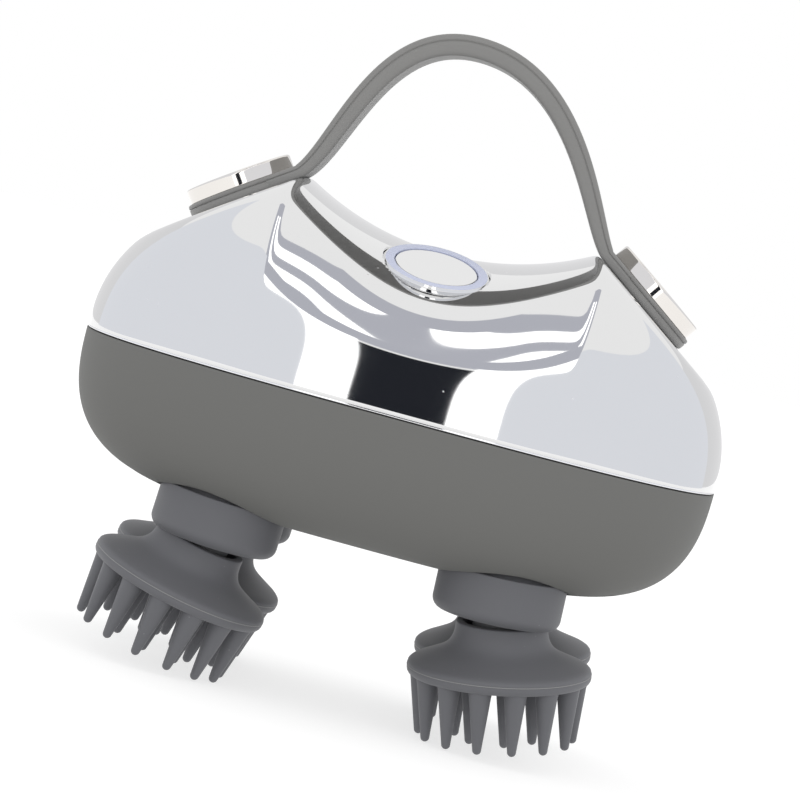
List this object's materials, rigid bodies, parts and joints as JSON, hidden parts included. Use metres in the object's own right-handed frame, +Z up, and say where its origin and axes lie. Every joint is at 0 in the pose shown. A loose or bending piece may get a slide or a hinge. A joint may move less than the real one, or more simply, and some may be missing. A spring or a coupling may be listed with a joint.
{
  "type": "electric scalp massager",
  "caption": "Pebble-shaped hand-held scalp massager with a saddle-backed housing, a strap handle, a round power button and rotating nubbed silicone heads on inclined posts.",
  "frame": {"origin": "centre of the bounding box's base, level with the lowest nub tips", "axes": "+X along the housing's long axis, -Y towards the front with the button, +Z up through the strap handle"},
  "size_m": [0.138, 0.093, 0.1452],
  "materials": {
    "chrome_shell": "bright chrome plating on moulded ABS",
    "chrome_trim": "bright chrome",
    "soft_touch": "soft-touch matte coating",
    "black_rubber": "matte",
    "strap_silicone": "matte silicone",
    "cap_metal": "polished nickel-chrome",
    "steel": "bright",
    "light_ring": "satin translucent",
    "chrome_key": "bright chrome plating on ABS",
    "circuit_board": "solder mask",
    "black_plastic": "matte",
    "dark_plastic": "matte glass-filled",
    "gear_plastic": "acetal",
    "rotor_metal": "laminated iron with windings",
    "brass": "machined",
    "cell_wrap": "shrink sleeve",
    "plug_silicone": "matte silicone",
    "wire_jacket": "silicone insulation",
    "hub_plastic": "satin",
    "claw_silicone": "matte silicone",
    "core_plastic": "satin"
  },
  "bodies": {
    "housing": {"upper_shell": "chrome_shell", "lower_shell": "soft_touch", "trim_ring": "chrome_trim", "shell_gasket": "black_rubber", "strap": "strap_silicone", "strap_cap_left": "cap_metal", "strap_cap_right": "cap_metal", "strap_screws": "steel", "button_bezel": "light_ring", "switch_board": "circuit_board", "tact_switch": "black_plastic", "bearing_plate": "dark_plastic", "gear_cover": "dark_plastic", "gear_screws": "steel", "hub_bearings": "steel", "lip_seals": "black_rubber", "sun_pin": "steel", "idler_pin": "steel", "motor_can": "steel", "motor_end_cap": "black_plastic", "motor_screws": "steel", "battery_cell": "cell_wrap", "battery_cradle": "dark_plastic", "control_board": "circuit_board", "charge_board": "circuit_board", "usb_port": "steel", "port_plug": "plug_silicone", "housing_screws": "steel", "wiring": "wire_jacket"},
    "button": {"power_button": "chrome_key"},
    "drive": {"sun_gear": "gear_plastic"},
    "idler": {"idler_gear": "gear_plastic"},
    "rotor": {"motor_rotor": "rotor_metal", "motor_pinion": "brass"},
    "head_front_left": {"hub_front_left": "hub_plastic", "output_gear_front_left": "gear_plastic", "collar_front_left": "claw_silicone"},
    "claw_unit_front_left": {"claw_front_left": "claw_silicone", "claw_core_front_left": "core_plastic"},
    "head_front_right": {"hub_front_right": "hub_plastic", "output_gear_front_right": "gear_plastic", "collar_front_right": "claw_silicone"},
    "claw_unit_front_right": {"claw_front_right": "claw_silicone", "claw_core_front_right": "core_plastic"},
    "head_rear_left": {"hub_rear_left": "hub_plastic", "output_gear_rear_left": "gear_plastic", "collar_rear_left": "claw_silicone"},
    "claw_unit_rear_left": {"claw_rear_left": "claw_silicone", "claw_core_rear_left": "core_plastic"},
    "head_rear_right": {"hub_rear_right": "hub_plastic", "output_gear_rear_right": "gear_plastic", "collar_rear_right": "claw_silicone"},
    "claw_unit_rear_right": {"claw_rear_right": "claw_silicone", "claw_core_rear_right": "core_plastic"}
  },
  "joints": [
    {"name": "button_press", "type": "slide", "parent": "housing", "child": "button", "axis": [0, 0.3517, -0.9361], "range_m": [0, 0.0006], "stiffness_N_per_m": 2500, "springref_m": -0.0004},
    {"name": "drive_spin", "type": "hinge", "parent": "housing", "child": "drive", "pos_m": [0, 0, 0.0551], "axis": [0, 0, 1], "continuous": true},
    {"name": "idler_spin", "type": "hinge", "parent": "housing", "child": "idler", "pos_m": [0, 0.024, 0.0601], "axis": [0, 0, 1], "continuous": true},
    {"name": "rotor_spin", "type": "hinge", "parent": "housing", "child": "rotor", "pos_m": [0, 0.006, 0.0701], "axis": [0, 0, 1], "continuous": true},
    {"name": "head_spin_front_left", "type": "hinge", "parent": "housing", "child": "head_front_left", "pos_m": [-0.0303, -0.02035, 0.0501], "axis": [0, 0, 1], "continuous": true},
    {"name": "claw_pull_front_left", "type": "slide", "parent": "head_front_left", "child": "claw_unit_front_left", "axis": [-0.2119, 0.0648, -0.9751], "range_m": [0, 0.012]},
    {"name": "head_spin_front_right", "type": "hinge", "parent": "housing", "child": "head_front_right", "pos_m": [0.0303, -0.02035, 0.0501], "axis": [0, 0, 1], "continuous": true},
    {"name": "claw_pull_front_right", "type": "slide", "parent": "head_front_right", "child": "claw_unit_front_right", "axis": [0.1974, 0.1006, -0.9751], "range_m": [0, 0.012]},
    {"name": "head_spin_rear_left", "type": "hinge", "parent": "housing", "child": "head_rear_left", "pos_m": [-0.0303, 0.02035, 0.0501], "axis": [0, 0, 1], "continuous": true},
    {"name": "claw_pull_rear_left", "type": "slide", "parent": "head_rear_left", "child": "claw_unit_rear_left", "axis": [-0.2119, 0.0648, -0.9751], "range_m": [0, 0.012]},
    {"name": "head_spin_rear_right", "type": "hinge", "parent": "housing", "child": "head_rear_right", "pos_m": [0.0303, 0.02035, 0.0501], "axis": [0, 0, 1], "continuous": true},
    {"name": "claw_pull_rear_right", "type": "slide", "parent": "head_rear_right", "child": "claw_unit_rear_right", "axis": [0.1974, 0.1006, -0.9751], "range_m": [0, 0.012]}
  ],
  "couplings": [
    {"joint": "idler_spin", "follows": "drive_spin", "ratio": -4},
    {"joint": "rotor_spin", "follows": "drive_spin", "ratio": 16},
    {"joint": "head_spin_front_left", "follows": "drive_spin", "ratio": -1.3548},
    {"joint": "head_spin_front_right", "follows": "drive_spin", "ratio": -1.3548},
    {"joint": "head_spin_rear_left", "follows": "drive_spin", "ratio": -1.3548},
    {"joint": "head_spin_rear_right", "follows": "drive_spin", "ratio": -1.3548}
  ]
}
